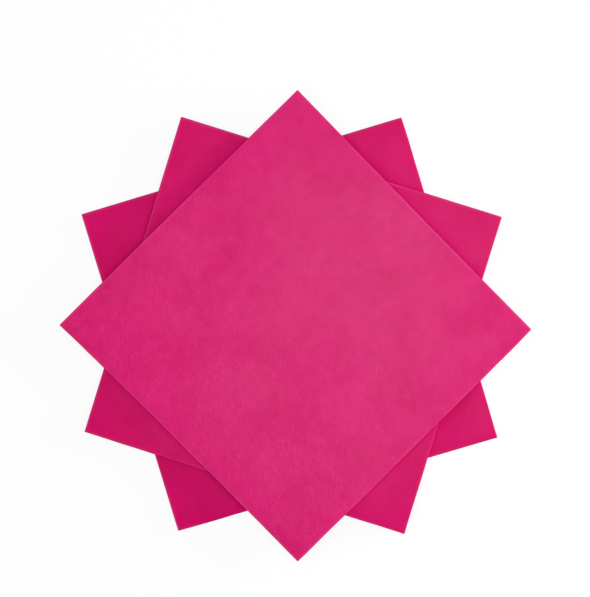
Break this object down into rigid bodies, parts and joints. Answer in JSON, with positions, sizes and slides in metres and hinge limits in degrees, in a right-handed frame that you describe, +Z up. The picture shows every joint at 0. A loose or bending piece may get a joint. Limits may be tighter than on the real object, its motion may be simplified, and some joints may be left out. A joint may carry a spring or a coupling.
{
  "type": "stack of paper napkins",
  "caption": "Small stack of plain soft paper napkins, each folded twice to a square quarter and laid turned on the one below, so that the corners fan out into a star.",
  "frame": {"origin": "on the table, under the middle of the stack's outline", "axes": "+Z up from the table, +X to the picture's right and +Y to its top, seen from straight above"},
  "size_m": [0.2336, 0.2334, 0.0039],
  "materials": {
    "napkin_paper": "matt soft napkin paper, dyed hot pink throughout"
  },
  "bodies": {
    "root": {"bottom_napkin": "napkin_paper", "middle_napkin": "napkin_paper", "top_napkin": "napkin_paper"}
  },
  "joints": []
}
